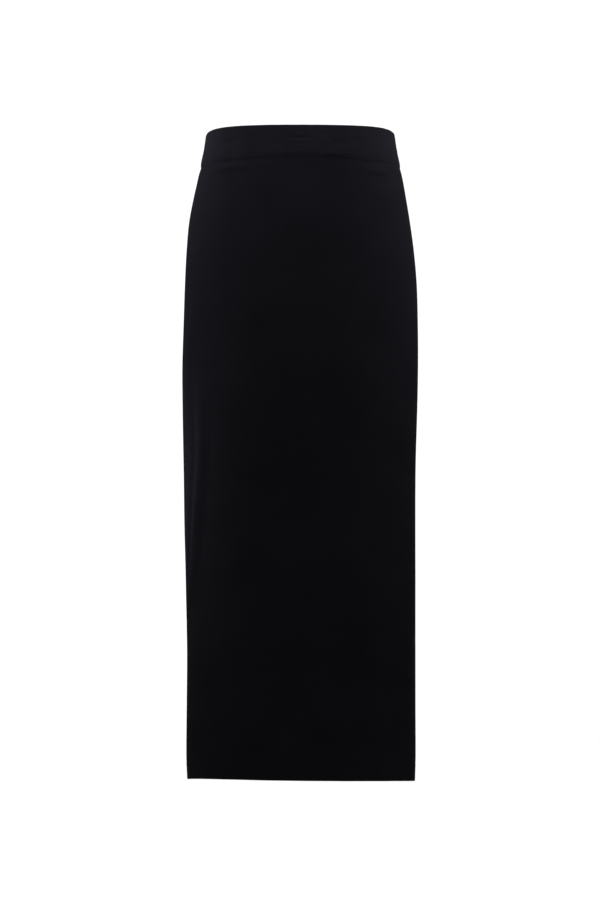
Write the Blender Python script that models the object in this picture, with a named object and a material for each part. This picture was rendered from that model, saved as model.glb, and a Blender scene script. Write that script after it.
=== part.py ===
"""Knit pencil skirt, filled out as on a wearer: a waistband, a front panel and a back panel.

Sizes are in metres. The origin is the middle of the waist, half way up the waistband, where the wearer's
waist holds the skirt. +Z is up, the front faces -Y, and +X is on the right seen from the front. Heights are
measured down from the waistband's top edge. Turns are degrees around the skirt: 0 at the middle of the
front, 90 at the side seam on +X, -90 at the other side seam and 180 at the middle of the back.
"""

from bisect import bisect_right
from collections import namedtuple
from math import cos, hypot, pi, radians, sin

import bmesh
import bpy
from mathutils import Vector

# Driving dimensions.
BAND_HEIGHT = 0.043  # the finished waistband, folded double over its elastic
BAND_WALL = 0.003
PANEL_WALL = 0.0015  # one layer of fine knit, with its loft
HEM_HEIGHT = 0.880  # the skirt's length, from the waistband's top edge to the hem
SEAM_GAP = 0.0003  # clear space between two pieces where a seam joins them
SIDE_SEAM_TURN = 90

BAND_COLUMNS = 80  # round the whole waist
PANEL_COLUMNS = 48  # from side seam to side seam
# rows of a panel below its seam, closer together where the knit puckers
ROWS_UNDER_BAND = (0.0035, 0.007, 0.0105, 0.014, 0.0175, 0.022, 0.031, 0.046)
ROWS_BELOW = 18  # even rows from there to the hem

BLACK_KNIT = (0.0085, 0.0083, 0.0105, 1.0)
KNIT_ROUGHNESS = 0.85

# Half widths to either side, depths to front and back of the origin, and how square the section is: 2 is an
# ellipse, and more is nearer to a rectangle with round corners.
Section = namedtuple("Section", "height left right front back square")

BAND_SECTIONS = (
    Section(0.000, 0.1298, 0.1308, 0.0856, 0.0858, 3.05),
    Section(0.020, 0.1326, 0.1337, 0.0870, 0.0874, 2.70),
    Section(0.036, 0.1366, 0.1376, 0.0886, 0.0894, 2.42),
    Section(0.043, 0.1376, 0.1388, 0.0892, 0.0900, 2.35),
)

PANEL_SECTIONS = (
    Section(0.043, 0.1366, 0.1382, 0.0880, 0.0888, 2.35),
    Section(0.058, 0.1404, 0.1416, 0.0903, 0.0920, 2.35),
    Section(0.085, 0.1466, 0.1463, 0.0940, 0.0968, 2.35),
    Section(0.120, 0.1530, 0.1517, 0.0975, 0.1030, 2.35),
    Section(0.160, 0.1564, 0.1567, 0.1000, 0.1088, 2.34),
    Section(0.205, 0.1586, 0.1602, 0.1012, 0.1132, 2.32),
    Section(0.260, 0.1602, 0.1613, 0.1012, 0.1148, 2.30),
    Section(0.320, 0.1613, 0.1614, 0.1000, 0.1128, 2.30),
    Section(0.380, 0.1602, 0.1604, 0.0982, 0.1090, 2.32),
    Section(0.460, 0.1585, 0.1582, 0.0958, 0.1040, 2.35),
    Section(0.540, 0.1573, 0.1572, 0.0936, 0.0998, 2.38),
    Section(0.620, 0.1550, 0.1569, 0.0916, 0.0964, 2.42),
    Section(0.700, 0.1531, 0.1566, 0.0898, 0.0936, 2.45),
    Section(0.780, 0.1534, 0.1560, 0.0880, 0.0912, 2.48),
    Section(0.850, 0.1536, 0.1557, 0.0864, 0.0894, 2.50),
    Section(0.885, 0.1520, 0.1546, 0.0852, 0.0882, 2.50),
)

# How far the waistband's seam and the hem hang below their heights, or above them where the drop is less
# than 0.
Drop = namedtuple("Drop", "turn drop")
SEAM_LINE = (
    Drop(-180, 0.0008),
    Drop(-90, 0.0006),
    Drop(-54, 0.0042),
    Drop(-28, 0.0028),
    Drop(0, 0.0016),
    Drop(28, 0.0028),
    Drop(56, 0.0042),
    Drop(90, 0.0012),
    Drop(180, 0.0008),
)
HEM_LINE = (
    Drop(-180, 0.0004),
    Drop(-90, -0.0004),
    Drop(-50, -0.0019),
    Drop(0, 0.0000),
    Drop(45, 0.0008),
    Drop(90, 0.0018),
    Drop(180, 0.0004),
)

# Soft ridges, and troughs where the rise is less than 0. Each runs from its upper end to its lower end, and
# one that ends below the hem runs out through it.
Fold = namedtuple("Fold", "upper_turn upper_height lower_turn lower_height half_width rise")
FOLDS = (
    # puckers under the waistband, front and back
    Fold(-41, 0.0475, -40, 0.0640, 0.036, 0.0012),
    Fold(45, 0.0520, 44, 0.0690, 0.030, 0.0013),
    Fold(-149, 0.0490, -148, 0.0660, 0.032, 0.0013),
    Fold(138, 0.0520, 138, 0.0690, 0.028, 0.0013),
    # long troughs in the front
    Fold(-67, 0.340, -86, 0.660, 0.015, -0.0011),
    Fold(49, 0.540, 51, 1.000, 0.032, -0.0015),
    # the hem stands a little forward between them
    Fold(-18, 0.846, -18, 0.926, 0.034, 0.0024),
    Fold(22, 0.850, 22, 0.926, 0.018, 0.0015),
    # long troughs in the back, from under the seat, and the hem between them
    Fold(-152, 0.300, -140, 1.020, 0.034, -0.0017),
    Fold(146, 0.330, 158, 0.800, 0.030, -0.0014),
    Fold(101, 0.440, 97, 0.700, 0.016, -0.0010),
    Fold(171, 0.848, 171, 0.926, 0.032, 0.0020),
)

# The waistband's wall, round its rim: how far in from the outer face, and the height.
Rim = namedtuple("Rim", "inwards height")
BAND_RIM = (
    Rim(0.0004, BAND_HEIGHT),
    Rim(0.0000, 0.0405),
    Rim(-0.0004, 0.0290),
    Rim(-0.0004, 0.0160),
    Rim(0.0000, 0.0040),
    Rim(0.0006, 0.0010),
    Rim(BAND_WALL / 2, 0.0000),
    Rim(BAND_WALL - 0.0006, 0.0010),
    Rim(BAND_WALL, 0.0040),
    Rim(BAND_WALL, 0.0220),
    Rim(BAND_WALL, 0.0405),
    Rim(BAND_WALL - 0.0004, BAND_HEIGHT),
)


def curve_value(rows, place, column):
    """A table's column between its rows, on a smooth curve through them; the first column is the place."""
    after = min(max(bisect_right([row[0] for row in rows], place), 1), len(rows) - 1)
    low, high = rows[after - 1], rows[after]
    span = high[0] - low[0]

    def slope(index):
        before, beyond = rows[max(index - 1, 0)], rows[min(index + 1, len(rows) - 1)]
        return (beyond[column] - before[column]) / (beyond[0] - before[0])

    along = (place - low[0]) / span
    leaving, arriving = slope(after - 1) * span, slope(after) * span
    rise = high[column] - low[column]
    bend = (leaving + arriving - 2 * rise) * along + (3 * rise - 2 * leaving - arriving)
    return low[column] + along * (leaving + along * bend)


def section_at(sections, height):
    """The section at a height, between the table's rows."""
    columns = range(1, len(Section._fields))
    return Section(height, *(curve_value(sections, height, column) for column in columns))


def ring_point(section, turn):
    """The point of a section's outline at a turn, seen from above, before any fold."""
    across, forward = sin(radians(turn)), cos(radians(turn))
    reach = (abs(across) ** section.square + abs(forward) ** section.square) ** (-1 / section.square)
    width = section.right if across > 0 else section.left
    depth = section.front if forward > 0 else section.back
    return Vector((width * across * reach, -depth * forward * reach, 0))


def ring_outward(section, turn):
    """The level direction straight out of a section's outline at a turn."""
    step = 0.5
    along = ring_point(section, turn + step) - ring_point(section, turn - step)
    return Vector((along.y, -along.x, 0)).normalized()


def soft_bump(share):
    """1 at 0, falling smoothly to 0 at 1 and -1."""
    return (1 + cos(pi * share)) / 2 if abs(share) < 1 else 0.0


def fold_rise(section, turn, height):
    """How far all the folds together lift the knit at a turn and a height."""
    total = 0.0
    for fold in FOLDS:
        along = (height - fold.upper_height) / (fold.lower_height - fold.upper_height)
        middle = fold.upper_turn + (fold.lower_turn - fold.upper_turn) * along
        away = (turn - middle + 180) % 360 - 180
        per_radian = hypot(section.left * cos(radians(middle)), section.front * sin(radians(middle)))
        across = radians(away) * per_radian / fold.half_width
        total += fold.rise * soft_bump(across) * soft_bump(2 * along - 1)
    return total


def world_height(height):
    """Z of a height below the waistband's top edge."""
    return BAND_HEIGHT / 2 - height


def knit_material(name):
    """Matt black knit."""
    material = bpy.data.materials.new(name)
    material.use_nodes = True
    shader = material.node_tree.nodes["Principled BSDF"]
    shader.inputs["Base Color"].default_value = BLACK_KNIT
    shader.inputs["Roughness"].default_value = KNIT_ROUGHNESS
    shader.inputs["Metallic"].default_value = 0.0
    material.diffuse_color = BLACK_KNIT
    return material


def line_height(height, line, turn):
    """A seam's or the hem's height at a turn."""
    return height + curve_value(line, (turn + 180) % 360 - 180, column=1)


def object_from_rows(name, rows, closed):
    """A named object whose faces join each row of points to the next; closed rows and their order go round."""
    shape = bmesh.new()
    grid = [[shape.verts.new(point) for point in row] for row in rows]
    if closed:
        grid = [row + row[:1] for row in grid + grid[:1]]
    for upper, lower in zip(grid, grid[1:]):
        for column in range(len(upper) - 1):
            shape.faces.new((upper[column], lower[column], lower[column + 1], upper[column + 1]))
    mesh = bpy.data.meshes.new(name)
    shape.to_mesh(mesh)
    shape.free()
    mesh.shade_smooth()
    mesh.materials.append(knit_material(name))
    piece = bpy.data.objects.new(name, mesh)
    bpy.context.collection.objects.link(piece)
    return piece


def make_waistband():
    """The band as a closed wall: its rim's points, each carried round the waist and down to the seam line."""
    turns = [360 * column / BAND_COLUMNS for column in range(BAND_COLUMNS)]
    seam_heights = [line_height(BAND_HEIGHT, SEAM_LINE, turn) for turn in turns]
    rows = []
    for rim in reversed(BAND_RIM):
        section = section_at(BAND_SECTIONS, rim.height)
        row = []
        for turn, seam_height in zip(turns, seam_heights):
            point = ring_point(section, turn) - ring_outward(section, turn) * rim.inwards
            point.z = world_height(rim.height * seam_height / BAND_HEIGHT)
            row.append(point)
        rows.append(row)
    return object_from_rows("waistband", rows, closed=True)


def panel_heights(turn):
    """The heights of a panel's rows at a turn, from its seam with the waistband to its hem."""
    top = line_height(BAND_HEIGHT, SEAM_LINE, turn) + SEAM_GAP
    near = [top] + [top + step for step in ROWS_UNDER_BAND]
    hem = line_height(HEM_HEIGHT, HEM_LINE, turn)
    return near + [near[-1] + (hem - near[-1]) * row / ROWS_BELOW for row in range(1, ROWS_BELOW + 1)]


def panel_point(turn, height, inset):
    """A point of a panel's outer face; inset moves it along the panel, away from its side seam."""
    section = section_at(PANEL_SECTIONS, height)
    point = ring_point(section, turn) + ring_outward(section, turn) * fold_rise(section, turn, height)
    return point + inset + Vector((0, 0, world_height(height)))


def make_panel(name, middle_turn):
    """A panel from side seam to side seam, as one sheet with a wall grown inwards."""
    facing = Vector((0, -cos(radians(middle_turn)), 0))
    turns = [
        middle_turn - SIDE_SEAM_TURN + 2 * SIDE_SEAM_TURN * column / PANEL_COLUMNS
        for column in range(PANEL_COLUMNS + 1)
    ]
    columns = []
    for turn in turns:
        at_seam = turn in (turns[0], turns[-1])
        inset = facing * (SEAM_GAP * 0.7 if at_seam else 0.0)
        columns.append([panel_point(turn, height, inset) for height in panel_heights(turn)])
    panel = object_from_rows(name, list(zip(*columns)), closed=False)
    wall = panel.modifiers.new("wall", "SOLIDIFY")
    wall.thickness = PANEL_WALL
    wall.offset = -1.0
    wall.use_even_offset = True
    return panel


def main():
    for thing in list(bpy.data.objects):
        bpy.data.objects.remove(thing)
    make_waistband()
    make_panel("front_panel", middle_turn=0)
    make_panel("back_panel", middle_turn=180)


main()
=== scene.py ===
"""Looks of a black knit pencil skirt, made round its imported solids.

Sizes are in metres, in the solids' frame: the origin is the middle of the waist, half way up the waistband,
+Z is up and the front faces -Y. Heights are measured down from the waistband's top edge. Turns are degrees
round the skirt: 0 at the middle of the front, 90 at the side seam on +X, 180 at the middle of the back.
"""

from collections import namedtuple
from math import radians

import bpy
import numpy as np
from bpy.props import FloatProperty, FloatVectorProperty, PointerProperty
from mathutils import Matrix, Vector


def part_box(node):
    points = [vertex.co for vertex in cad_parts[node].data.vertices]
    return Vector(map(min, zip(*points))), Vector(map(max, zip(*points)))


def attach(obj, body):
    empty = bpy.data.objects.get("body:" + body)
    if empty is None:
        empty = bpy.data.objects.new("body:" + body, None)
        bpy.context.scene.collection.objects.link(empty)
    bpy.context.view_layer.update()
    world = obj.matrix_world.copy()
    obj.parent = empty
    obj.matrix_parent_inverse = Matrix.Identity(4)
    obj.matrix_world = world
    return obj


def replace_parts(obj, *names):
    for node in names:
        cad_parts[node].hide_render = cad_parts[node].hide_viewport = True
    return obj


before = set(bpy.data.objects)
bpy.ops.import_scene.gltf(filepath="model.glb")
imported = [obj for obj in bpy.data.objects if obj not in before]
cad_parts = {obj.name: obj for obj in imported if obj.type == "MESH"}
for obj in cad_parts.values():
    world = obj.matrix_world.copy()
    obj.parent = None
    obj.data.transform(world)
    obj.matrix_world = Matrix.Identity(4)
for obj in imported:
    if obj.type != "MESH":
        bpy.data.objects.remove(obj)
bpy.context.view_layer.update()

bl_info = {
    "name": "Knit pencil skirt",
    "version": (1, 0, 0),
    "blender": (4, 5, 0),
    "location": "3D View > Sidebar > Skirt",
    "description": "Knits and sews a pencil skirt round its solids, and sets a studio round it",
    "category": "Object",
}

WAIST_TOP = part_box("waistband")[1].z
BAND_HEIGHT = 0.043
HEM_HEIGHT = 0.880
SEAM_TURN = 90

# ---------------------------------------------------------------------------------------------------------
# The skirt's form: the same sections and folds as its solids have.

# Half widths to either side, depths to front and back of the origin, and how square the section is: 2 is an
# ellipse, and more is nearer to a rectangle with round corners.
Section = namedtuple("Section", "height left right front back square")

BAND_SECTIONS = (
    Section(0.000, 0.1298, 0.1308, 0.0856, 0.0858, 3.05),
    Section(0.020, 0.1326, 0.1337, 0.0870, 0.0874, 2.70),
    Section(0.036, 0.1366, 0.1376, 0.0886, 0.0894, 2.42),
    Section(0.043, 0.1376, 0.1388, 0.0892, 0.0900, 2.35),
)

PANEL_SECTIONS = (
    Section(0.043, 0.1366, 0.1382, 0.0880, 0.0888, 2.35),
    Section(0.058, 0.1404, 0.1416, 0.0903, 0.0920, 2.35),
    Section(0.085, 0.1466, 0.1463, 0.0940, 0.0968, 2.35),
    Section(0.120, 0.1530, 0.1517, 0.0975, 0.1030, 2.35),
    Section(0.160, 0.1564, 0.1567, 0.1000, 0.1088, 2.34),
    Section(0.205, 0.1586, 0.1602, 0.1012, 0.1132, 2.32),
    Section(0.260, 0.1602, 0.1613, 0.1012, 0.1148, 2.30),
    Section(0.320, 0.1613, 0.1614, 0.1000, 0.1128, 2.30),
    Section(0.380, 0.1602, 0.1604, 0.0982, 0.1090, 2.32),
    Section(0.460, 0.1585, 0.1582, 0.0958, 0.1040, 2.35),
    Section(0.540, 0.1573, 0.1572, 0.0936, 0.0998, 2.38),
    Section(0.620, 0.1550, 0.1569, 0.0916, 0.0964, 2.42),
    Section(0.700, 0.1531, 0.1566, 0.0898, 0.0936, 2.45),
    Section(0.780, 0.1534, 0.1560, 0.0880, 0.0912, 2.48),
    Section(0.850, 0.1536, 0.1557, 0.0864, 0.0894, 2.50),
    Section(0.885, 0.1520, 0.1546, 0.0852, 0.0882, 2.50),
)

# How far the waistband's seam and the hem hang below their heights, or above them where the drop is less
# than 0.
Drop = namedtuple("Drop", "turn drop")
SEAM_LINE = (
    Drop(-180, 0.0008),
    Drop(-90, 0.0006),
    Drop(-54, 0.0042),
    Drop(-28, 0.0028),
    Drop(0, 0.0016),
    Drop(28, 0.0028),
    Drop(56, 0.0042),
    Drop(90, 0.0012),
    Drop(180, 0.0008),
)
HEM_LINE = (
    Drop(-180, 0.0004),
    Drop(-90, -0.0004),
    Drop(-50, -0.0019),
    Drop(0, 0.0000),
    Drop(45, 0.0008),
    Drop(90, 0.0018),
    Drop(180, 0.0004),
)

# Soft ridges, and troughs where the rise is less than 0. Each runs from its upper end to its lower end.
Fold = namedtuple("Fold", "upper_turn upper_height lower_turn lower_height half_width rise")
FOLDS = (
    # puckers under the waistband, front and back
    Fold(-41, 0.0475, -40, 0.0640, 0.036, 0.0012),
    Fold(45, 0.0520, 44, 0.0690, 0.030, 0.0013),
    Fold(-149, 0.0490, -148, 0.0660, 0.032, 0.0013),
    Fold(138, 0.0520, 138, 0.0690, 0.028, 0.0013),
    # long troughs in the front
    Fold(-67, 0.340, -86, 0.660, 0.015, -0.0011),
    Fold(49, 0.540, 51, 1.000, 0.032, -0.0015),
    # the hem stands a little forward between them
    Fold(-18, 0.846, -18, 0.926, 0.034, 0.0024),
    Fold(22, 0.850, 22, 0.926, 0.018, 0.0015),
    # long troughs in the back, from under the seat, and the hem between them
    Fold(-152, 0.300, -140, 1.020, 0.034, -0.0017),
    Fold(146, 0.330, 158, 0.800, 0.030, -0.0014),
    Fold(101, 0.440, 97, 0.700, 0.016, -0.0010),
    Fold(171, 0.848, 171, 0.926, 0.032, 0.0020),
)

# ---------------------------------------------------------------------------------------------------------
# Finer form, which only the knit has.

# Small gathers that the elastic pulls in below its seam, uneven all round.
GATHERS = (
    Fold(-171, 0.036, -170, 0.078, 0.010, 0.0004),
    Fold(-161, 0.038, -160, 0.069, 0.007, -0.0003),
    Fold(-139, 0.035, -137, 0.082, 0.012, -0.0005),
    Fold(-128, 0.037, -128, 0.070, 0.008, 0.0004),
    Fold(-112, 0.036, -111, 0.076, 0.009, 0.0003),
    Fold(-98, 0.038, -98, 0.066, 0.006, -0.0004),
    Fold(-82, 0.038, -83, 0.070, 0.006, 0.0004),
    Fold(-66, 0.036, -66, 0.072, 0.009, -0.0003),
    Fold(-52, 0.037, -54, 0.064, 0.007, 0.0003),
    Fold(-27, 0.038, -28, 0.062, 0.005, -0.0004),
    Fold(-15, 0.038, -15, 0.060, 0.004, 0.0003),
    Fold(9, 0.037, 10, 0.070, 0.010, 0.0002),
    Fold(28, 0.038, 29, 0.063, 0.005, -0.0004),
    Fold(56, 0.036, 58, 0.078, 0.009, -0.0004),
    Fold(69, 0.037, 71, 0.074, 0.008, 0.0004),
    Fold(81, 0.038, 82, 0.066, 0.006, -0.0004),
    Fold(99, 0.037, 99, 0.070, 0.007, 0.0003),
    Fold(113, 0.036, 112, 0.080, 0.010, -0.0004),
    Fold(127, 0.038, 127, 0.068, 0.007, 0.0003),
    Fold(153, 0.036, 152, 0.076, 0.009, -0.0004),
    Fold(165, 0.037, 166, 0.070, 0.008, 0.0003),
)

# Soft creases where the knit hangs, too shallow for the solids.
CREASES = (
    Fold(-58, 0.200, -74, 0.420, 0.020, 0.0006),
    Fold(-44, 0.090, -60, 0.230, 0.022, -0.0004),
    Fold(62, 0.110, 70, 0.300, 0.022, 0.0004),
    Fold(34, 0.560, 37, 0.960, 0.024, 0.0005),
    Fold(64, 0.600, 66, 0.930, 0.014, 0.0006),
    Fold(-30, 0.640, -26, 0.960, 0.030, -0.0004),
    Fold(6, 0.480, 10, 0.900, 0.034, 0.0004),
    Fold(-104, 0.120, -118, 0.330, 0.022, 0.0005),
    Fold(120, 0.180, 132, 0.420, 0.024, -0.0005),
    Fold(-128, 0.520, -120, 0.920, 0.020, 0.0006),
    Fold(-172, 0.360, -165, 0.760, 0.034, 0.0006),
    Fold(170, 0.560, 176, 0.950, 0.028, -0.0005),
    Fold(124, 0.560, 117, 0.960, 0.018, 0.0006),
    # where the hem stands out, so that its edge catches the light
    Fold(-37, 0.864, -37, 0.912, 0.018, 0.0008),
    Fold(3, 0.866, 3, 0.912, 0.022, 0.0007),
    Fold(42, 0.860, 42, 0.914, 0.020, 0.0012),
    Fold(-118, 0.862, -118, 0.914, 0.020, 0.0010),
    Fold(-156, 0.864, -156, 0.912, 0.024, 0.0009),
    Fold(136, 0.860, 136, 0.914, 0.018, 0.0011),
)

# Short places where linking has drawn the waistband's seam down, or up where the drop is less than 0.
Waver = namedtuple("Waver", "turn half_width drop")
WAVERS = (
    Waver(-152, 0.012, 0.0005),
    Waver(-133, 0.007, -0.0006),
    Waver(-104, 0.010, 0.0006),
    Waver(-78, 0.006, -0.0005),
    Waver(-57, 0.008, 0.0005),
    Waver(-33, 0.020, 0.0015),
    Waver(-20, 0.006, -0.0007),
    Waver(-11, 0.007, 0.0006),
    Waver(3, 0.006, -0.0006),
    Waver(12, 0.010, 0.0006),
    Waver(23, 0.006, -0.0006),
    Waver(37, 0.022, 0.0017),
    Waver(52, 0.006, -0.0005),
    Waver(83, 0.008, 0.0005),
    Waver(109, 0.007, -0.0006),
    Waver(131, 0.011, 0.0006),
    Waver(163, 0.007, -0.0007),
)

# How strongly the waistband's seam draws in the band's edge above it and the knit below it, as shares of its
# full pull.
Pull = namedtuple("Pull", "turn above below")
SEAM_PULLS = (
    Pull(-180, 0.9, 0.7),
    Pull(-130, 1.1, 1.1),
    Pull(-95, 0.8, 0.8),
    Pull(-55, 1.2, 1.2),
    Pull(-30, 1.1, 0.6),
    Pull(-12, 1.15, 0.1),
    Pull(14, 1.15, 0.1),
    Pull(32, 1.1, 0.6),
    Pull(50, 1.3, 1.3),
    Pull(80, 0.9, 0.9),
    Pull(125, 1.1, 1.1),
    Pull(180, 0.9, 0.7),
)

# Long creases that folding has left: down each of them the knit stands out on the side of greater turns, and
# dips on the other side.
Crest = namedtuple("Crest", "height turn rise")
LONG_CREASES = (
    # from the left of the front, out to the side seam
    (
        Crest(0.300, -57.0, 0.0000),
        Crest(0.370, -56.0, 0.0014),
        Crest(0.412, -56.0, 0.0023),
        Crest(0.452, -56.5, 0.0031),
        Crest(0.492, -58.5, 0.0036),
        Crest(0.533, -61.0, 0.0036),
        Crest(0.573, -63.5, 0.0032),
        Crest(0.613, -68.0, 0.0027),
        Crest(0.645, -74.0, 0.0022),
        Crest(0.668, -79.0, 0.0012),
        Crest(0.700, -85.0, 0.0000),
    ),
    # the same on the right of the back, lower down and softer
    (
        Crest(0.420, 128.0, 0.0000),
        Crest(0.500, 127.0, 0.0008),
        Crest(0.580, 124.0, 0.0011),
        Crest(0.660, 119.0, 0.0009),
        Crest(0.760, 109.0, 0.0000),
    ),
)
CREASE_LEAN = 0.005  # from the crease's line to the ridge on one side, and to the dip on the other
RIDGE_HALF_WIDTH, DIP_HALF_WIDTH, DIP_SHARE = 0.018, 0.011, 0.6

# How far the waistband's top edge lies below its height at the front's corners and between them.
RIM_LINE = (
    Drop(-180, 0.0000),
    Drop(-88, -0.0002),
    Drop(-56, -0.0006),
    Drop(-28, -0.0002),
    Drop(0, -0.0003),
    Drop(28, -0.0002),
    Drop(54, -0.0011),
    Drop(88, -0.0006),
    Drop(180, 0.0000),
)

# Slow unevenness of hanging knit: waves counted round the skirt, and down it in each metre.
Sway = namedtuple("Sway", "waves_round waves_down start rise")
SWAYS = (
    Sway(3, 1.7, 0.6, 0.00030),
    Sway(5, 2.9, 2.1, 0.00018),
    Sway(9, 4.3, 4.4, 0.00010),
)

# Local lumps, and dents where the rise is less than 0. Half sizes are along the band and down it.
Lump = namedtuple("Lump", "turn height half_length half_height rise")
BAND_LUMPS = (
    # a short crease across the middle of the front, and the rolls of knit below it
    Lump(0, 0.0175, 0.019, 0.0019, -0.0008),
    Lump(1, 0.0215, 0.024, 0.0030, 0.0004),
    Lump(-1, 0.0360, 0.020, 0.0026, 0.0003),
    # unevenness where the elastic has turned inside the band
    Lump(14, 0.0120, 0.012, 0.0040, -0.0003),
    Lump(18, 0.0375, 0.014, 0.0060, 0.0008),
    Lump(22, 0.0235, 0.013, 0.0060, -0.0006),
    Lump(34, 0.0130, 0.016, 0.0060, 0.0003),
    Lump(-13, 0.0310, 0.009, 0.0050, 0.0004),
    Lump(-24, 0.0340, 0.008, 0.0050, -0.0003),
    Lump(-42, 0.0140, 0.020, 0.0060, 0.0003),
    Lump(-63, 0.0280, 0.016, 0.0060, -0.0003),
    Lump(74, 0.0200, 0.018, 0.0060, 0.0003),
    Lump(104, 0.0150, 0.020, 0.0050, -0.0004),
    Lump(121, 0.0290, 0.016, 0.0060, 0.0004),
    Lump(149, 0.0180, 0.026, 0.0030, -0.0005),
    Lump(151, 0.0230, 0.026, 0.0040, 0.0003),
    Lump(-96, 0.0120, 0.018, 0.0050, 0.0003),
    Lump(-118, 0.0260, 0.020, 0.0040, -0.0004),
    Lump(-146, 0.0160, 0.018, 0.0060, 0.0004),
    Lump(-168, 0.0280, 0.014, 0.0050, -0.0003),
)

# Rows of a knit face: evenly spaced down to each height, one stage after the other.
Stage = namedtuple("Stage", "down_to step")
PANEL_STAGES = (
    Stage(0.050, 0.0009),
    Stage(0.066, 0.0015),
    Stage(0.105, 0.0026),
    Stage(0.845, 0.0050),
    Stage(0.878, 0.0020),
)
BAND_STEP = 0.0011
EDGE_ROLL_DEGREES = (18, 36, 54, 72, 84)

PANEL_COLUMNS = 200  # from side seam to side seam
PANEL_CROWDING = 0.2  # draws the columns closer together towards the side seams
BAND_COLUMNS = 400  # round the whole waist
BAND_JOIN_TURN = 180  # where the band's two ends are joined

SIDE_SINK, SIDE_SINK_REACH = 0.0007, 0.0019  # how deep the side seams lie, and how far that draws the knit
WAIST_SINK, WAIST_SINK_REACH = 0.0005, 0.0032  # the same below the waistband
BAND_TUCK, BAND_TUCK_REACH = 0.0009, 0.0075  # and above that seam, where the band's edge turns in
BAND_EDGE_ROUND = 0.0002  # radius of the band's two lower edges
HEM_LINE_SINK, HEM_LINE_REACH = 0.00016, 0.0016  # where the turned hem ends inside
SEAM_CLEARANCE = 0.00006
SIDE_SEAM_LEAN = 0.0008  # how far the side seams lean back through the knit, so that none lets light through
BAND_CROWN = 0.0004  # how far the elastic swells the middle of the band
RIPPLE_RISE, RIPPLES_ROUND = 0.0001, 31  # faint upright ripples, where the elastic gathers the band
LINK_LEANS = (0.22, -0.12)  # how far every second linking stitch leans up, and the others down
LINK_HALF_LENGTH, LINK_SINK = 0.62, 1.1  # in pitches, and in radii of the thread below the knit's face
WAIST_ALLOWANCE_DROP, WAIST_ALLOWANCE_STEP = 0.0012, 0.0010  # its top below the seam, and its rows' spacing
SIDE_ALLOWANCE_DROP, SIDE_ALLOWANCE_STEP = 0.0105, 0.006  # their tops below the seam, and their rows' spacing
SIDE_ALLOWANCE_CLEARANCE = 0.003  # how far above the turned hem they end


def curve_values(rows, places, column):
    """A table's column at an array of places, on a smooth curve through its rows."""
    table = np.array(rows)
    knots, values = table[:, 0], table[:, column]
    own = np.arange(len(knots))
    before, beyond = np.maximum(own - 1, 0), np.minimum(own + 1, len(knots) - 1)
    slopes = (values[beyond] - values[before]) / (knots[beyond] - knots[before])
    after = np.clip(np.searchsorted(knots, places, side="right"), 1, len(knots) - 1)
    span = knots[after] - knots[after - 1]
    along = (places - knots[after - 1]) / span
    leaving, arriving = slopes[after - 1] * span, slopes[after] * span
    rise = values[after] - values[after - 1]
    bend = (leaving + arriving - 2 * rise) * along + (3 * rise - 2 * leaving - arriving)
    return values[after - 1] + along * (leaving + along * bend)


def wrapped(turns):
    """Turns brought between -180 and 180."""
    return (turns + 180) % 360 - 180


def soft_bump(share):
    """1 at 0, falling smoothly to 0 at 1 and -1."""
    return np.where(abs(share) < 1, (1 + np.cos(np.pi * share)) / 2, 0.0)


def sections_at(sections, heights):
    """The sections at an array of heights, as one section of arrays."""
    columns = range(1, len(Section._fields))
    return Section(heights, *(curve_values(sections, heights, column) for column in columns))


def ring_points(section, turns):
    """Points of the sections' outlines at turns, seen from above, before any fold."""
    across, forward = np.sin(np.radians(turns)), np.cos(np.radians(turns))
    reach = (abs(across) ** section.square + abs(forward) ** section.square) ** (-1 / section.square)
    width = np.where(across > 0, section.right, section.left)
    depth = np.where(forward > 0, section.front, section.back)
    level = np.zeros_like(across)
    return np.stack((width * across * reach, -depth * forward * reach, level), axis=-1)


def ring_outward(section, turns):
    """The level directions straight out of the sections' outlines at turns."""
    step = 0.5
    along = ring_points(section, turns + step) - ring_points(section, turns - step)
    outward = np.stack((along[..., 1], -along[..., 0], np.zeros_like(turns)), axis=-1)
    return outward / np.linalg.norm(outward, axis=-1, keepdims=True)


def span_from(section, turns, middle):
    """How far round the skirt turns are from a middle turn, in metres."""
    per_radian = np.hypot(
        section.left * np.cos(np.radians(middle)), section.front * np.sin(np.radians(middle))
    )
    return np.radians(wrapped(turns - middle)) * per_radian


def folds_rise(folds, section, turns):
    """How far folds together lift the knit."""
    total = np.zeros_like(turns)
    for fold in folds:
        along = (section.height - fold.upper_height) / (fold.lower_height - fold.upper_height)
        middle = fold.upper_turn + (fold.lower_turn - fold.upper_turn) * along
        across = span_from(section, turns, middle) / fold.half_width
        total += fold.rise * soft_bump(across) * soft_bump(2 * along - 1)
    return total


def long_creases_rise(section, turns):
    """How far the long creases lift the knit."""
    total = np.zeros_like(turns)
    for crease in LONG_CREASES:
        heights = np.clip(section.height, crease[0].height, crease[-1].height)
        span = span_from(section, turns, curve_values(crease, heights, column=1))
        ridge = soft_bump((span - CREASE_LEAN) / RIDGE_HALF_WIDTH)
        dip = soft_bump((span + CREASE_LEAN) / DIP_HALF_WIDTH)
        total += curve_values(crease, heights, column=2) * (ridge - DIP_SHARE * dip)
    return total


def lumps_rise(lumps, section, turns):
    """How far local lumps together lift the knit."""
    total = np.zeros_like(turns)
    for lump in lumps:
        across = span_from(section, turns, lump.turn) / lump.half_length
        down = (section.height - lump.height) / lump.half_height
        total += lump.rise * soft_bump(np.hypot(across, down))
    return total


def sway_rise(section, turns):
    """The slow unevenness of hanging knit."""
    total = np.zeros_like(turns)
    for sway in SWAYS:
        turned = sway.waves_round * np.radians(turns) + sway.start
        total += sway.rise * np.sin(turned + 2 * np.pi * sway.waves_down * section.height)
    return total


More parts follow.
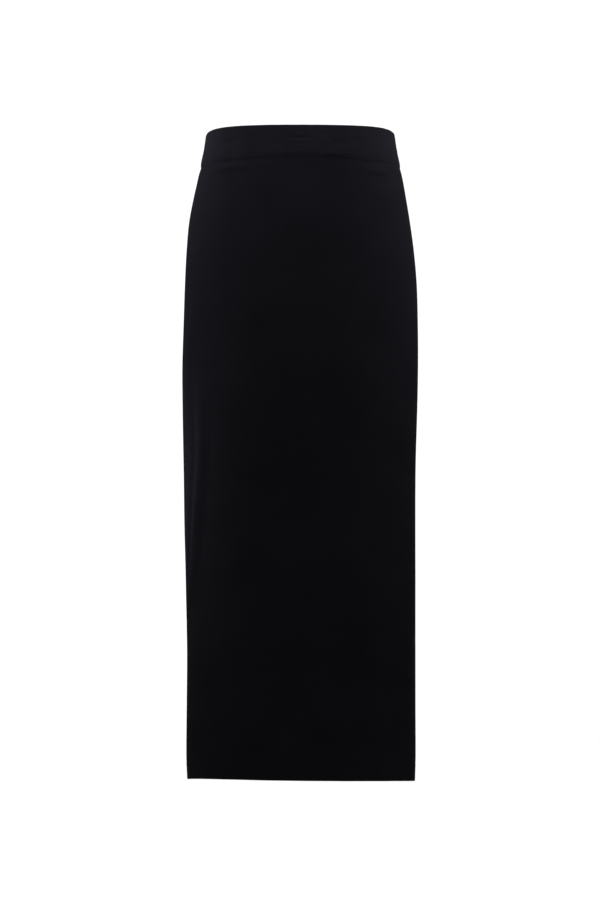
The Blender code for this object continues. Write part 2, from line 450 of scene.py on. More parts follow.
def face_points(section, turns, heights, level_rise, rise):
    """Points and outward directions of a knit face; level_rise lifts it level, and rise out of it."""
    points = ring_points(section, turns) + ring_outward(section, turns) * level_rise[..., None]
    points[..., 2] = WAIST_TOP - heights
    step = 0.25
    sideways = ring_points(section, turns + step) - ring_points(section, turns - step)
    downwards = np.gradient(points, axis=0)
    outward = np.cross(downwards, sideways)
    outward /= np.linalg.norm(outward, axis=-1, keepdims=True)
    return points + outward * rise[..., None], outward


def seam_drops(turns):
    """How far the waistband's seam hangs below its height at turns."""
    section = sections_at(PANEL_SECTIONS, np.full_like(turns, BAND_HEIGHT))
    drops = curve_values(SEAM_LINE, wrapped(turns), column=1)
    for waver in WAVERS:
        drops += waver.drop * soft_bump(span_from(section, turns, waver.turn) / waver.half_width)
    return drops


def seam_pulls(turns):
    """How strongly the waistband's seam draws in the knit above it and below it at turns."""
    return [curve_values(SEAM_PULLS, wrapped(turns), column) for column in (1, 2)]


def hem_drops(turns):
    """How far the hem hangs below its height at turns."""
    return curve_values(HEM_LINE, wrapped(turns), column=1)


def panel_face(turns, heights):
    """Points and outward directions of the panels' outer face, over a grid of turns and heights."""
    section = sections_at(PANEL_SECTIONS, heights)
    seam_span = np.minimum(
        abs(span_from(section, turns, SEAM_TURN)), abs(span_from(section, turns, -SEAM_TURN))
    )
    below_band = np.maximum(heights - BAND_HEIGHT - seam_drops(turns), 0)
    hem_end = heights - (HEM_HEIGHT + hem_drops(turns) - bpy.context.scene.skirt_sizes.hem_depth)
    gathered = section._replace(height=BAND_HEIGHT + below_band)
    pull = seam_pulls(turns)[1]
    rise = (
        folds_rise(GATHERS, gathered, turns)
        + folds_rise(CREASES, section, turns)
        + long_creases_rise(section, turns)
        + sway_rise(section, turns) * np.minimum(below_band / 0.05, 1)
        - SIDE_SINK * np.exp(-((seam_span / SIDE_SINK_REACH) ** 2))
        - WAIST_SINK * pull * np.exp(-below_band / WAIST_SINK_REACH)
        - HEM_LINE_SINK * np.exp(-((hem_end / HEM_LINE_REACH) ** 2))
    )
    return face_points(section, turns, heights, folds_rise(FOLDS, section, turns), rise)


def band_face(turns, heights):
    """Points and outward directions of the waistband's outer face, over a grid of turns and heights."""
    section = sections_at(BAND_SECTIONS, heights)
    join_span = span_from(section, turns, BAND_JOIN_TURN)
    crown = BAND_CROWN * np.sin(np.pi * np.clip(heights / BAND_HEIGHT, 0, 1))
    near_seam = np.clip(1 - (BAND_HEIGHT - heights) / BAND_TUCK_REACH, 0, 1)
    pull = seam_pulls(turns)[0]
    ripple = RIPPLE_RISE * np.sin(RIPPLES_ROUND * np.radians(turns) + 1.3 * np.sin(7 * np.radians(turns)))
    rise = (
        lumps_rise(BAND_LUMPS, section, turns)
        + crown
        + ripple
        - BAND_TUCK * pull * near_seam**2
        - SIDE_SINK * np.exp(-((join_span / SIDE_SINK_REACH) ** 2))
    )
    share_down = heights / BAND_HEIGHT
    rim_drops = curve_values(RIM_LINE, wrapped(turns), column=1)
    drawn_down = heights + seam_drops(turns) * share_down + rim_drops * (1 - share_down)
    return face_points(section, turns, drawn_down, np.zeros_like(turns), rise)


# ---------------------------------------------------------------------------------------------------------
# Meshes.


def stepped_rows(start, stages):
    """Heights from a start, evenly spaced within each stage."""
    rows = [np.array([start])]
    for stage in stages:
        count = max(1, round((stage.down_to - rows[-1][-1]) / stage.step))
        rows.append(np.linspace(rows[-1][-1], stage.down_to, count + 1)[1:])
    return np.concatenate(rows)


def roll_shares(radius, wall):
    """The rows that round a wall's edge: how far each lies past its start, and its share of the way in."""
    angles = np.radians(EDGE_ROLL_DEGREES)
    return radius * np.sin(angles), radius / wall * (1 - np.cos(angles))


def wall_corners(grid, closed):
    """The corners of a wall's faces, from a grid of (side, row, column): outer, inner, then its rims."""
    outer, inner = grid
    faces = [
        (outer[:-1, :-1], outer[1:, :-1], outer[1:, 1:], outer[:-1, 1:]),
        (inner[:-1, :-1], inner[:-1, 1:], inner[1:, 1:], inner[1:, :-1]),
        (outer[0, :-1], outer[0, 1:], inner[0, 1:], inner[0, :-1]),
        (outer[-1, :-1], inner[-1, :-1], inner[-1, 1:], outer[-1, 1:]),
    ]
    if not closed:
        faces += [
            (outer[:-1, 0], inner[:-1, 0], inner[1:, 0], outer[1:, 0]),
            (outer[:-1, -1], outer[1:, -1], inner[1:, -1], inner[:-1, -1]),
        ]
    return [np.stack([corner.ravel() for corner in face], axis=-1) for face in faces]


def knit_lengths(points, closed):
    """Metres along the knit at each point of a face: sideways from the middle, and down from the top."""
    sideways = np.linalg.norm(np.diff(points, axis=1), axis=-1)
    if closed:
        sideways = np.hstack((sideways, np.linalg.norm(points[:, :1] - points[:, -1:], axis=-1)))
        points = np.hstack((points, points[:, :1]))
    round_it = np.hstack((np.zeros((len(points), 1)), np.cumsum(sideways, axis=1)))
    round_it -= round_it[:, [round_it.shape[1] // 2]]
    down = np.linalg.norm(np.diff(points, axis=0), axis=-1)
    return round_it, np.vstack((np.zeros((1, points.shape[1])), np.cumsum(down, axis=0)))


def wall_object(name, outer, inner, closed, face_finish, back_finish):
    """A closed wall between an outer and an inner face, with a UV map in metres along the knit."""
    rows, columns = outer.shape[:2]
    numbers = np.arange(2 * rows * columns).reshape(2, rows, columns)
    if closed:
        numbers = np.concatenate((numbers, numbers[..., :1]), axis=2)
    groups = wall_corners(numbers, closed)
    across, down = knit_lengths(outer, closed)
    mesh = bpy.data.meshes.new(name)
    points = np.concatenate((outer.reshape(-1, 3), inner.reshape(-1, 3)))
    mesh.from_pydata(points.tolist(), [], np.concatenate(groups).tolist())
    layer = mesh.uv_layers.new(name="knit")
    corner_lengths = [np.concatenate(wall_corners(np.stack((side, side)), closed)) for side in (across, down)]
    layer.data.foreach_set("uv", np.stack(corner_lengths, axis=-1).ravel())
    mesh.materials.append(face_finish)
    mesh.materials.append(back_finish)
    finish_numbers = np.zeros(len(mesh.polygons), dtype=np.int32)
    finish_numbers[len(groups[0]):len(groups[0]) + len(groups[1])] = 1
    mesh.polygons.foreach_set("material_index", finish_numbers)
    mesh.shade_smooth()
    mesh.set_sharp_from_angle(angle=radians(70))
    mesh.validate()
    piece = bpy.data.objects.new(name, mesh)
    bpy.context.collection.objects.link(piece)
    return piece


def joined_copies(name, template, faces, frames, finish):
    """One object of many copies of a small mesh; each frame holds a centre and three sized axes."""
    points = frames[:, None, 0] + np.einsum("pk,fkx->fpx", template, frames[:, 1:])
    starts = range(0, len(template) * len(frames), len(template))
    corners = [[start + corner for corner in face] for start in starts for face in faces]
    mesh = bpy.data.meshes.new(name)
    mesh.from_pydata(points.reshape(-1, 3).tolist(), [], corners)
    mesh.materials.append(finish)
    mesh.shade_smooth()
    piece = bpy.data.objects.new(name, mesh)
    bpy.context.collection.objects.link(piece)
    return piece


def settle(piece):
    """Fastens a piece to the skirt's one body."""
    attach(piece, "root")
    return piece


# ---------------------------------------------------------------------------------------------------------
# Finishes.


class Recipe:
    """A material's nodes, added one after the other round its Principled shader."""

    def __init__(self, name):
        self.material = bpy.data.materials.new(name)
        self.material.use_nodes = True
        self.nodes, self.links = self.material.node_tree.nodes, self.material.node_tree.links
        self.shader = self.nodes["Principled BSDF"]

    def feed(self, socket, value):
        """Links a socket, or sets its number."""
        if isinstance(value, bpy.types.NodeSocket):
            self.links.new(value, socket)
        else:
            socket.default_value = value

    def math(self, operation, *values):
        """A number worked out from sockets or numbers."""
        node = self.nodes.new("ShaderNodeMath")
        node.operation = operation
        for socket, value in zip(node.inputs, values):
            self.feed(socket, value)
        return node.outputs[0]

    def knit_coordinates(self, wale_width, course_height):
        """Wales counted sideways and courses counted down, from the UV map in metres."""
        source = self.nodes.new("ShaderNodeUVMap")
        source.uv_map = "knit"
        split = self.nodes.new("ShaderNodeSeparateXYZ")
        self.links.new(source.outputs["UV"], split.inputs[0])
        wales = self.math("DIVIDE", split.outputs["X"], wale_width)
        return wales, self.math("DIVIDE", split.outputs["Y"], course_height)

    def hill(self, value):
        """1 where the fraction of a value is a half, falling to 0 where it is whole."""
        from_middle = self.math("MULTIPLY_ADD", self.math("FRACT", value), 2.0, -1.0)
        return self.math("SUBTRACT", 1.0, self.math("MULTIPLY", from_middle, from_middle))

    def noise(self, scale, detail=2.0, roughness=0.5):
        """Noise in the skirt's own space, with a scale in spots for each metre."""
        place = self.nodes.new("ShaderNodeTexCoord")
        node = self.nodes.new("ShaderNodeTexNoise")
        node.inputs["Scale"].default_value = scale
        node.inputs["Detail"].default_value = detail
        node.inputs["Roughness"].default_value = roughness
        self.links.new(place.outputs["Object"], node.inputs["Vector"])
        return node.outputs["Fac"]

    def mixed_colour(self, share, first, second):
        """A colour between two, by a share from 0 to 1."""
        node = self.nodes.new("ShaderNodeMix")
        node.data_type = "RGBA"
        self.feed(node.inputs["Factor"], share)
        node.inputs[6].default_value = (*first, 1.0)
        node.inputs[7].default_value = (*second, 1.0)
        return node.outputs[2]

    def bump(self, height, distance, strength=1.0):
        """Raises the surface by a height from 0 to 1, over a distance in metres."""
        node = self.nodes.new("ShaderNodeBump")
        node.inputs["Distance"].default_value = distance
        node.inputs["Strength"].default_value = strength
        self.links.new(height, node.inputs["Height"])
        self.links.new(node.outputs["Normal"], self.shader.inputs["Normal"])


def set_cloth_gloss(shader, colours):
    """The even parts of the yarn's gloss, on the shader's own sockets."""
    shader.inputs["Metallic"].default_value = 0.0
    shader.inputs["Specular IOR Level"].default_value = colours.gloss
    shader.inputs["Sheen Weight"].default_value = colours.fuzz
    shader.inputs["Sheen Roughness"].default_value = 0.45
    shader.inputs["Sheen Tint"].default_value = (*colours.fuzz_tint, 1.0)


def knit_finish(name, side, lift=1.0):
    """Fine black jersey: columns of V stitches on its face, and rows of small loops on its back; its colour
    is darker in the gaps between stitches, as painted shade.
    """
    sizes, colours = bpy.context.scene.skirt_sizes, bpy.context.scene.skirt_colours
    recipe = Recipe(name)
    wales, courses = recipe.knit_coordinates(sizes.wale_width, sizes.course_height)
    if side == "face":
        from_middle = recipe.math("ABSOLUTE", recipe.math("SUBTRACT", recipe.math("FRACT", wales), 0.5))
        leg = recipe.math("MULTIPLY", from_middle, 2.0)
        yarn = recipe.hill(leg)
        loop = recipe.hill(recipe.math("MULTIPLY_ADD", leg, 0.8, courses))
    else:
        yarn = recipe.hill(courses)
        offset = recipe.math("MULTIPLY", recipe.math("FLOOR", courses), 0.5)
        loop = recipe.hill(recipe.math("ADD", wales, offset))
    stitch = recipe.math("MULTIPLY", yarn, recipe.math("MULTIPLY_ADD", loop, 0.6, 0.4))
    fibres = recipe.noise(2600.0, detail=1.0)
    clouds = recipe.noise(16.0, detail=3.0, roughness=0.55)
    # Colour: the stitches' height darkens the gaps between stitches as painted shade; the fibres and clouds
    # add random darker and lighter tone, the yarn's own.
    shade = recipe.math("MULTIPLY_ADD", stitch, 0.35, recipe.math("MULTIPLY", fibres, 0.25))
    shade = recipe.math("MULTIPLY_ADD", clouds, 0.55, shade)
    darkest = tuple(lift * part for part in colours.yarn_dark_and_gap_shade)
    lightest = tuple(lift * part for part in colours.yarn)
    recipe.feed(recipe.shader.inputs["Base Color"], recipe.mixed_colour(shade, darkest, lightest))
    recipe.feed(recipe.shader.inputs["Roughness"], recipe.math("MULTIPLY_ADD", fibres, 0.16, 0.78))
    height = recipe.math("MULTIPLY_ADD", fibres, 0.3, stitch)
    recipe.bump(height, distance=sizes.stitch_relief)
    set_cloth_gloss(recipe.shader, colours)
    return recipe.material


def thread_finish(name, twist_length):
    """Black sewing thread, twisted from plies, with painted shade in the grooves between them."""
    colours = bpy.context.scene.skirt_colours
    recipe = Recipe(name)
    place = recipe.nodes.new("ShaderNodeTexCoord")
    split = recipe.nodes.new("ShaderNodeSeparateXYZ")
    recipe.links.new(place.outputs["Object"], split.inputs[0])
    lean = recipe.math("ADD", split.outputs["X"], recipe.math("ADD", split.outputs["Y"], split.outputs["Z"]))
    plies = recipe.hill(recipe.math("DIVIDE", lean, twist_length))
    # Darker between the plies: painted shade in the grooves.
    recipe.feed(
        recipe.shader.inputs["Base Color"], recipe.mixed_colour(plies, colours.yarn_dark_and_gap_shade, colours.thread)
    )
    recipe.feed(recipe.shader.inputs["Roughness"], recipe.math("MULTIPLY_ADD", plies, -0.15, 0.75))
    recipe.bump(plies, distance=0.0001)
    set_cloth_gloss(recipe.shader, colours)
    return recipe.material


def serged_finish(name):
    """A cut knit edge bound with slanting threads; the knit between the threads takes the yarn's dark end as
    painted shade.
    """
    sizes, colours = bpy.context.scene.skirt_sizes, bpy.context.scene.skirt_colours
    recipe = Recipe(name)
    wales, courses = recipe.knit_coordinates(sizes.serging_pitch, sizes.serging_pitch)
    threads = recipe.hill(recipe.math("MULTIPLY_ADD", wales, 0.45, courses))
    crossing = recipe.hill(recipe.math("MULTIPLY_ADD", courses, -0.4, wales))
    raised = recipe.math("MAXIMUM", threads, recipe.math("MULTIPLY", crossing, 0.7))
    # Thread colour on the raised threads; between them the knit shows in the yarn's dark end, painted shade
    # under the threads.
    recipe.feed(
        recipe.shader.inputs["Base Color"], recipe.mixed_colour(raised, colours.yarn_dark_and_gap_shade, colours.thread)
    )
    recipe.feed(recipe.shader.inputs["Roughness"], recipe.math("MULTIPLY_ADD", raised, -0.1, 0.8))
    recipe.bump(raised, distance=0.0004)
    set_cloth_gloss(recipe.shader, colours)
    return recipe.material


def plain_finish(name, colour, roughness):
    """A finish for the floor, which isn't part of the skirt."""
    recipe = Recipe(name)
    recipe.shader.inputs["Base Color"].default_value = (*colour, 1.0)
    recipe.shader.inputs["Roughness"].default_value = roughness
    recipe.shader.inputs["Specular IOR Level"].default_value = 0.0
    return recipe.material


# ---------------------------------------------------------------------------------------------------------
# What a user can change.


class SkirtSizes(bpy.types.PropertyGroup):
    """Sizes of the knit and its sewing."""

    panel_wall: FloatProperty(
        name="Panel knit", description="Thickness of one layer of knit", default=0.0014, unit="LENGTH"
    )
    band_wall: FloatProperty(
        name="Waistband", description="Thickness of the folded band", default=0.0030, unit="LENGTH"
    )
    hem_depth: FloatProperty(
        name="Hem depth", description="Height of knit turned up inside the hem", default=0.025, unit="LENGTH"
    )
    hem_wall: FloatProperty(
        name="Hem knit", description="Thickness of the turned hem", default=0.0025, unit="LENGTH"
    )
    wale_width: FloatProperty(
        name="Wale", description="Width of one column of stitches", default=0.00125, unit="LENGTH"
    )
    course_height: FloatProperty(
        name="Course", description="Height of one row of stitches", default=0.00095, unit="LENGTH"
    )
    stitch_relief: FloatProperty(
        name="Stitch relief", description="How far the stitches stand out", default=0.00016, unit="LENGTH"
    )
    linking_pitch: FloatProperty(
        name="Linking pitch", description="Spacing of the waist seam's stitches",
        default=0.0021, unit="LENGTH"
    )
    linking_thread: FloatProperty(
        name="Linking thread", description="Thickness of the waist seam's thread",
        default=0.0006, unit="LENGTH"
    )
    allowance_width: FloatProperty(
        name="Allowance", description="Width of the seam allowances inside", default=0.007, unit="LENGTH"
    )
    allowance_wall: FloatProperty(
        name="Allowance knit", description="Thickness of the seam allowances", default=0.0018, unit="LENGTH"
    )
    serging_pitch: FloatProperty(
        name="Serging pitch", description="Spacing of the threads over a cut edge",
        default=0.0016, unit="LENGTH"
    )


class SkirtColours(bpy.types.PropertyGroup):
    """Colours and gloss of the yarn."""

    # Yarn and the yarn's dark end are mixed by stitch height, fibres and clouds: the random tone is the
    # yarn's own, and the darker gaps between stitches, plies and serging threads are painted shade.
    yarn: FloatVectorProperty(
        name="Yarn", description="Black yarn where it stands out", subtype="COLOR", size=3, min=0, max=1,
        default=(0.00272, 0.00264, 0.00296),
    )
    yarn_dark_and_gap_shade: FloatVectorProperty(
        name="Yarn shade", description="Black yarn between the stitches",
        subtype="COLOR", size=3, min=0, max=1,
        default=(0.00088, 0.00085, 0.00096),
    )
    thread: FloatVectorProperty(
        name="Thread", description="Black sewing thread", subtype="COLOR", size=3, min=0, max=1,
        default=(0.0050, 0.0050, 0.0056),
    )
    fuzz_tint: FloatVectorProperty(
        name="Fuzz tint", description="Colour of the fibre ends that catch the light",
        subtype="COLOR", size=3,
        min=0, max=1, default=(0.80, 0.82, 1.0),
    )
    fuzz: FloatProperty(
        name="Fuzz", description="How much the fibre ends catch the light", default=0.001, min=0, max=1
    )
    gloss: FloatProperty(
        name="Gloss", description="How much the yarn reflects", default=0.0018, min=0, max=1
    )
    band_lift: FloatProperty(
        name="Band lift", description="How much lighter the stretched waistband is", default=1.4, min=0
    )


class SkirtStudio(bpy.types.PropertyGroup):
    """The floor, the lights and the camera."""

    camera_distance: FloatProperty(
        name="Camera distance", description="From the waist's middle, level", default=3.521, unit="LENGTH"
    )
    camera_drop: FloatProperty(
        name="Camera drop", description="Below the waistband's top edge", default=0.794, unit="LENGTH"
    )
    camera_pitch: FloatProperty(
        name="Camera pitch", description="How far it looks up", default=radians(5.85), subtype="ANGLE"
    )
    lens: FloatProperty(
        name="Lens", description="Focal length for a long side of 36 mm", default=103.6, unit="CAMERA"
    )
    floor_drop: FloatProperty(
        name="Floor drop", description="Floor below the waistband, as when worn", default=1.03, unit="LENGTH"
    )
    surround: FloatProperty(
        name="Surround", description="Light from the white surround", default=1.08, min=0
    )
    box_colour: FloatVectorProperty(
        name="Soft boxes", description="Colour of the soft boxes' light",
        subtype="COLOR", size=3, min=0, max=1,
        default=(0.80, 0.80, 1.00),
    )
    floor_colour: FloatVectorProperty(
        name="Floor", description="Pale floor", subtype="COLOR", size=3, min=0, max=1,
        default=(0.93, 0.93, 0.93),
    )


# ---------------------------------------------------------------------------------------------------------
# The skirt, piece by piece.

# Plain soft boxes round the skirt: where each is, what it points at, its size, spread and power.
SoftBox = namedtuple("SoftBox", "name place aim width height spread_degrees power")
SOFT_BOXES = (
    SoftBox("front_box", (0.0, -0.90, 0.80), (0, 0, 0.02), 1.2, 0.4, 70, 4.9),
    SoftBox("back_box", (0.0, 0.90, 0.80), (0, 0, 0.02), 1.2, 0.4, 70, 4.9),
    SoftBox("fill_box", (0.0, -2.60, 0.60), (0, 0, -0.30), 1.6, 1.2, 60, 1.4),
    SoftBox("left_box", (-0.85, -0.10, 0.55), (0, 0, -0.02), 0.6, 0.4, 80, 15.6),
    SoftBox("right_box", (0.85, -0.10, 0.55), (0, 0, -0.02), 0.6, 0.4, 80, 13.9),
    SoftBox("low_left_box", (-0.97, 0.14, -0.15), (0, 0, -0.52), 0.2, 0.2, 30, 1.0),
)


class SetStudio(bpy.types.Operator):
    """Sets the pale floor, the white surround, the soft boxes and the camera"""

    bl_idname = "skirt.set_studio"
    bl_label = "Set the studio"

    def execute(self, context):
        studio = context.scene.skirt_studio
        context.scene.view_settings.view_transform = "Standard"
        self.lay_floor(studio)
        self.light_surround(context.scene, studio)
        for box in SOFT_BOXES:
            self.hang_soft_box(context, box)
        self.place_camera(context.scene, studio)
        return {"FINISHED"}

    def lay_floor(self, studio):
        half = 30.0
        level = -studio.floor_drop
        mesh = bpy.data.meshes.new("floor")
        corners = [(-half, -half, level), (half, -half, level), (half, half, level), (-half, half, level)]
        mesh.from_pydata(corners, [], [(0, 1, 2, 3)])
        mesh.materials.append(plain_finish("pale_floor", studio.floor_colour, roughness=0.9))
        floor = bpy.data.objects.new("floor", mesh)
        bpy.context.collection.objects.link(floor)

    def light_surround(self, scene, studio):
        scene.world = bpy.data.worlds.new("white_surround")
        scene.world.use_nodes = True
        background = scene.world.node_tree.nodes["Background"]
        background.inputs["Color"].default_value = (1, 1, 1, 1)
        background.inputs["Strength"].default_value = studio.surround

    def hang_soft_box(self, context, box):
        data = bpy.data.lights.new(box.name, "AREA")
        data.shape = "RECTANGLE"
        data.size, data.size_y = box.width, box.height
        data.spread = radians(box.spread_degrees)
        data.energy = box.power
        data.color = context.scene.skirt_studio.box_colour
        light = bpy.data.objects.new(box.name, data)
        light.location = box.place
        light.rotation_euler = (Vector(box.aim) - light.location).to_track_quat("-Z", "Y").to_euler()
        bpy.context.collection.objects.link(light)

    def place_camera(self, scene, studio):
        data = bpy.data.cameras.new("camera")
        data.lens = studio.lens
        data.sensor_width = 36.0
        data.clip_start, data.clip_end = 0.05, 100.0
        camera = bpy.data.objects.new("camera", data)
        camera.location = (0, -studio.camera_distance, WAIST_TOP - studio.camera_drop)
        camera.rotation_euler = (radians(90) + studio.camera_pitch, 0, 0)
        bpy.context.collection.objects.link(camera)
        scene.camera = camera


class KnitWaistband(bpy.types.Operator):
    """Makes the waistband: one tube of knit folded over its elastic, with a rounded top"""

    bl_idname = "skirt.knit_waistband"
    bl_label = "Knit the waistband"

    def execute(self, context):
        sizes, lift = context.scene.skirt_sizes, context.scene.skirt_colours.band_lift
        radius = sizes.band_wall / 2
        past, inwards = roll_shares(radius, sizes.band_wall)
        seam_past, seam_inwards = roll_shares(BAND_EDGE_ROUND, sizes.band_wall)
        flat_rows = stepped_rows(radius, (Stage(BAND_HEIGHT - BAND_EDGE_ROUND, BAND_STEP),))
        heights = np.concatenate((radius - past[::-1], flat_rows, flat_rows[-1] + seam_past))
        shares = np.concatenate((inwards[::-1], np.zeros(len(flat_rows)), seam_inwards))
        turns = np.arange(BAND_COLUMNS) * 360 / BAND_COLUMNS
        turn_grid, height_grid = np.meshgrid(turns, heights)
        face, outward = band_face(turn_grid, height_grid)
        inset = (shares * sizes.band_wall)[:, None, None]
        band = wall_object(
            "waistband_knit",
            face - outward * inset,
            face - outward * (sizes.band_wall - inset),
            closed=True,
            face_finish=knit_finish("band_knit_face", "face", lift),
            back_finish=knit_finish("band_knit_inside", "face", lift),
        )
        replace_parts(settle(band), "waistband")
        return {"FINISHED"}


class KnitPanels(bpy.types.Operator):
    """Makes the front and the back panel, from the waistband's seam to the turned hem"""

    bl_idname = "skirt.knit_panels"
    bl_label = "Knit the panels"

    def execute(self, context):
        face_finish, back_finish = knit_finish("knit_face", "face"), knit_finish("knit_back", "back")
        for node, middle_turn in (("front_panel", 0), ("back_panel", 180)):
            panel = self.knit_panel(context.scene.skirt_sizes, node, middle_turn, face_finish, back_finish)
            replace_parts(settle(panel), node)
        return {"FINISHED"}

    def knit_panel(self, sizes, node, middle_turn, face_finish, back_finish):
        radius = sizes.hem_wall / 2
        past, inwards = roll_shares(radius, sizes.hem_wall)
        flat_rows = stepped_rows(BAND_HEIGHT + SEAM_CLEARANCE, PANEL_STAGES)
        flat_rows = flat_rows[0] + (flat_rows - flat_rows[0]) * (
            (HEM_HEIGHT - radius - flat_rows[0]) / (flat_rows[-1] - flat_rows[0])
        )
        heights = np.concatenate((flat_rows, flat_rows[-1] + past))
        shares = np.concatenate((np.zeros(len(flat_rows)), inwards))
        even = np.linspace(-1, 1, PANEL_COLUMNS + 1)
        turns = middle_turn + SEAM_TURN * (even * (1 + PANEL_CROWDING) - PANEL_CROWDING * even**3)
        turn_grid, height_grid = np.meshgrid(turns, heights)
        reach = (height_grid - heights[0]) / (HEM_HEIGHT - heights[0])
        near_seam = np.clip(1 - (height_grid - heights[0]) / 0.080, 0, 1)
        height_grid = height_grid + seam_drops(turn_grid) * near_seam + hem_drops(turn_grid) * reach
        face, outward = panel_face(turn_grid, height_grid)
        face[:, [0, -1], 1] -= np.cos(np.radians(middle_turn)) * SEAM_CLEARANCE
        turned_up = np.clip((heights - (HEM_HEIGHT - sizes.hem_depth)) / 0.002, 0, 1)
        wall = sizes.panel_wall + (sizes.hem_wall - sizes.panel_wall) * turned_up
        inset = (shares * wall)[:, None, None]
        back = face - outward * (wall[:, None, None] - inset)
        back[:, [0, -1], 1] += SIDE_SEAM_LEAN
        return wall_object(
            f"{node}_knit",
            face - outward * inset,
            back,
            closed=False,
            face_finish=face_finish,
            back_finish=back_finish,
        )


class LinkWaistSeam(bpy.types.Operator):
    """Makes the row of linking stitches that joins the panels to the waistband"""

    bl_idname = "skirt.link_waist_seam"
    bl_label = "Link the waist seam"

    def execute(self, context):
        sizes = context.scene.skirt_sizes
        turns = np.tile(np.linspace(-180, 180, 2 * BAND_COLUMNS + 1), (3, 1))
        beside = np.array([[-0.001], [0], [0.001]])
        rings, outwards = panel_face(turns, BAND_HEIGHT + seam_drops(turns) + beside)
        ring, outward = rings[1], outwards[1]
        along = np.concatenate(([0], np.cumsum(np.linalg.norm(np.diff(ring, axis=0), axis=1))))
        count = round(along[-1] / sizes.linking_pitch)
        places = (np.arange(count) + 0.5) * along[-1] / count
        centres = np.stack([np.interp(places, along, ring[:, axis]) for axis in range(3)], axis=-1)
        out = np.stack([np.interp(places, along, outward[:, axis]) for axis in range(3)], axis=-1)
        out /= np.linalg.norm(out, axis=1, keepdims=True)
        up = np.tile((0.0, 0.0, 1.0), (count, 1))
        sideways = np.cross(up, out)
        lean = np.where(np.arange(count) % 2, *LINK_LEANS)[:, None]
        length = (sideways + up * lean) * sizes.linking_pitch * LINK_HALF_LENGTH
        radius = sizes.linking_thread / 2
        frames = np.stack((centres - out * radius * LINK_SINK, length, up * radius, out * radius), axis=1)
        template, faces = bead_mesh()
        finish = thread_finish("link_thread", 0.0007)
        stitches = joined_copies("waist_linking", template, faces, frames, finish)
        settle(stitches)
        return {"FINISHED"}


class SewAllowances(bpy.types.Operator):
    """Makes the serged seam allowances inside: round the waist, and down both side seams"""

    bl_idname = "skirt.sew_allowances"
    bl_label = "Sew the seam allowances"

    def execute(self, context):
        sizes = context.scene.skirt_sizes
        finish = serged_finish("serged_edge")
        self.sew_waist(sizes, finish)
        for side, seam_turn in (("left", -SEAM_TURN), ("right", SEAM_TURN)):
            self.sew_side(sizes, finish, side, seam_turn)
        return {"FINISHED"}

    def sew_waist(self, sizes, finish):
        """A ring below the waistband, lying on the panels' back."""
        past, inwards = roll_shares(sizes.allowance_wall / 2, sizes.allowance_wall)
        top = BAND_HEIGHT + WAIST_ALLOWANCE_DROP
        flat_rows = stepped_rows(top, (Stage(top + sizes.allowance_width, WAIST_ALLOWANCE_STEP),))
        heights = np.concatenate((top - past[::-1], flat_rows, flat_rows[-1] + past))
        shares = np.concatenate((inwards[::-1], np.zeros(len(flat_rows)), inwards))
        turn_grid, height_grid = np.meshgrid(np.arange(BAND_COLUMNS) * 360 / BAND_COLUMNS, heights)
        face, outward = panel_face(turn_grid, height_grid + seam_drops(turn_grid))
        back = face - outward * (sizes.panel_wall + 2 * SEAM_CLEARANCE)
        waver = 0.0002 * np.sin(np.radians(turn_grid) * 47 + 2 * np.sin(np.radians(turn_grid) * 9))
        inset = (shares * sizes.allowance_wall)[:, None, None]
        allowance = wall_object(
            "waist_allowance",
            back - outward * inset,
            back - outward * (sizes.allowance_wall + waver[..., None] - inset),
            closed=True,
            face_finish=finish,
            back_finish=finish,
        )
        settle(allowance)

    def sew_side(self, sizes, finish, side, seam_turn):
        """A strip down a side seam, pressed towards the back."""
        lowest = HEM_HEIGHT - sizes.hem_depth - SIDE_ALLOWANCE_CLEARANCE
        heights = stepped_rows(BAND_HEIGHT + SIDE_ALLOWANCE_DROP, (Stage(lowest, SIDE_ALLOWANCE_STEP),))
        past, inwards = roll_shares(sizes.allowance_wall / 2, sizes.allowance_wall)
        flat_spans = np.linspace(0, sizes.allowance_width, 6)
        spans = np.concatenate((-past[::-1], flat_spans, flat_spans[-1] + past))
        shares = np.concatenate((inwards[::-1], np.zeros(len(flat_spans)), inwards))
        section = sections_at(PANEL_SECTIONS, heights)
        per_radian = section.front
        towards_back = np.sign(seam_turn)
        order = slice(None) if towards_back > 0 else slice(None, None, -1)
        spans, shares = spans[order], shares[order]
        turn_grid = seam_turn + towards_back * np.degrees(spans[None] / per_radian[:, None])
        height_grid = np.repeat(heights[:, None], len(spans), axis=1)
        face, outward = panel_face(turn_grid, height_grid)
        back = face - outward * (sizes.panel_wall + 2 * SEAM_CLEARANCE)
        waver = 0.00015 * np.sin(height_grid * 210 + 1.7 * np.sin(height_grid * 33))
        inset = (shares * sizes.allowance_wall)[None, :, None]
        allowance = wall_object(
            f"{side}_side_allowance",
            back - outward * inset,
            back - outward * (sizes.allowance_wall + waver[..., None] - inset),
            closed=False,
            face_finish=finish,
            back_finish=finish,
        )
        settle(allowance)


class DeclareCloth(bpy.types.Operator):
    """Takes no step: it states no flat cut and nothing sewn, and returns at once"""

    bl_idname = "skirt.declare_cloth"
    bl_label = "Declare the cloth"

    def execute(self, context):
        return {"FINISHED"}


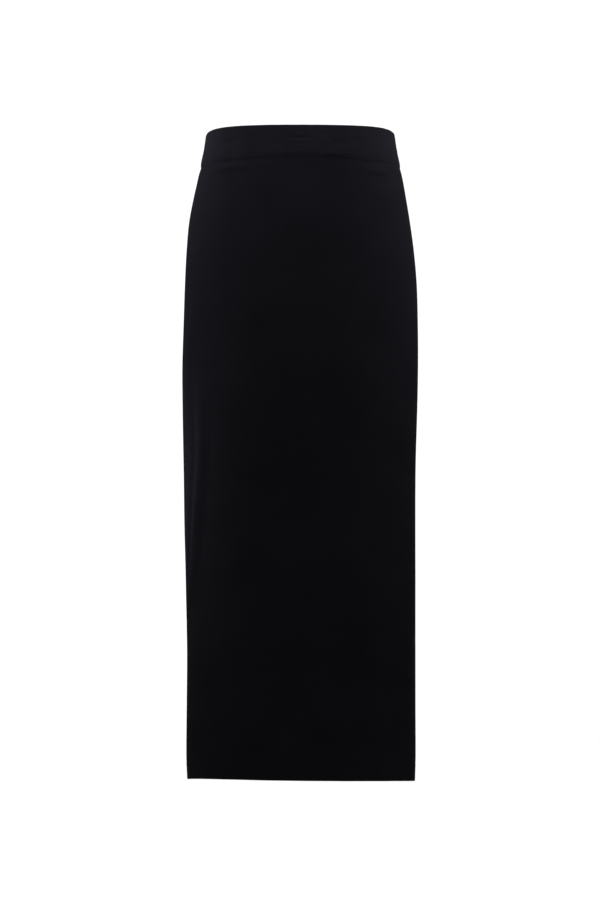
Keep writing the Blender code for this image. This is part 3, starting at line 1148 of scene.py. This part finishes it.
def bead_mesh():
    """A bead of unit half sizes: two ends, and rings of points between them."""
    rings, points_round = 5, 8
    template = [(-1.0, 0.0, 0.0)]
    for ring in range(1, rings + 1):
        tilt = np.pi * ring / (rings + 1)
        for step in range(points_round):
            angle = 2 * np.pi * step / points_round
            template.append((-np.cos(tilt), np.sin(tilt) * np.cos(angle), np.sin(tilt) * np.sin(angle)))
    template.append((1.0, 0.0, 0.0))
    last = len(template) - 1
    faces = []
    for step in range(points_round):
        beside = (step + 1) % points_round
        faces.append((0, 1 + beside, 1 + step))
        for ring in range(rings - 1):
            near, far = 1 + ring * points_round, 1 + (ring + 1) * points_round
            faces.append((near + step, near + beside, far + beside, far + step))
        final = 1 + (rings - 1) * points_round
        faces.append((last, final + step, final + beside))
    return np.array(template), faces


# ---------------------------------------------------------------------------------------------------------
# The add-on.

STEPS = (SetStudio, KnitWaistband, KnitPanels, LinkWaistSeam, SewAllowances, DeclareCloth)


class SkirtPanel(bpy.types.Panel):
    """The skirt's steps, sizes and colours"""

    bl_idname = "SKIRT_PT_steps"
    bl_label = "Knit pencil skirt"
    bl_space_type = "VIEW_3D"
    bl_region_type = "UI"
    bl_category = "Skirt"

    def draw(self, context):
        for step in STEPS:
            self.layout.operator(step.bl_idname)
        for group in (context.scene.skirt_sizes, context.scene.skirt_colours, context.scene.skirt_studio):
            box = self.layout.box()
            for name in group.__annotations__:
                box.prop(group, name)


CLASSES = (SkirtSizes, SkirtColours, SkirtStudio, *STEPS, SkirtPanel)


def register():
    for item in CLASSES:
        bpy.utils.register_class(item)
    bpy.types.Scene.skirt_sizes = PointerProperty(type=SkirtSizes)
    bpy.types.Scene.skirt_colours = PointerProperty(type=SkirtColours)
    bpy.types.Scene.skirt_studio = PointerProperty(type=SkirtStudio)


def unregister():
    del bpy.types.Scene.skirt_studio
    del bpy.types.Scene.skirt_colours
    del bpy.types.Scene.skirt_sizes
    for item in reversed(CLASSES):
        bpy.utils.unregister_class(item)


def main():
    register()
    bpy.ops.skirt.set_studio()
    bpy.ops.skirt.knit_waistband()
    bpy.ops.skirt.knit_panels()
    bpy.ops.skirt.link_waist_seam()
    bpy.ops.skirt.sew_allowances()
    bpy.ops.skirt.declare_cloth()


if __name__ == "__main__":
    main()
